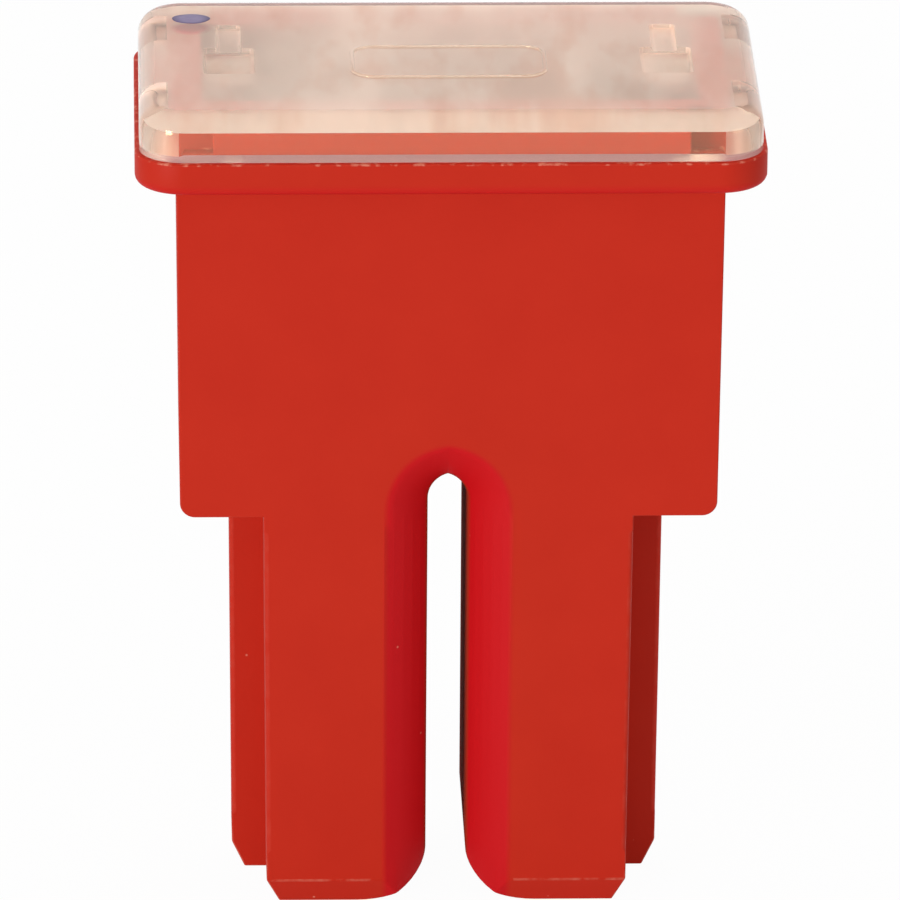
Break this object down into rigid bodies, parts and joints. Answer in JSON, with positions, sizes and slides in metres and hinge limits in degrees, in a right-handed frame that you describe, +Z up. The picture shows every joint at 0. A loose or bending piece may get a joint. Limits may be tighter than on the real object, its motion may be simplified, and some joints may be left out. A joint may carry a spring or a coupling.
{
  "type": "automotive cartridge fuse",
  "caption": "Plug-on automotive cartridge fuse with a flanged moulded body, hollow legs that hold female contacts, a flared slot between the legs and a clear cover that clips over the flange.",
  "frame": {"origin": "middle of the footprint, on the plane the two feet stand on", "axes": "+Z up from the feet to the cover, +X along the wide side from one leg to the other, +Y from the front face to the back face"},
  "size_m": [0.0206, 0.0126, 0.0284],
  "materials": {
    "red_moulding": "satin moulded red plastic with fine mould texture",
    "clear_moulding": "polished clear plastic, slightly hazy",
    "tinned_copper": "tin-plated copper alloy sheet",
    "tin": "dull tin"
  },
  "bodies": {
    "root": {"housing": "red_moulding", "clear_cover": "clear_moulding", "fuse_element": "tinned_copper", "tin_pellet": "tin"}
  },
  "joints": []
}
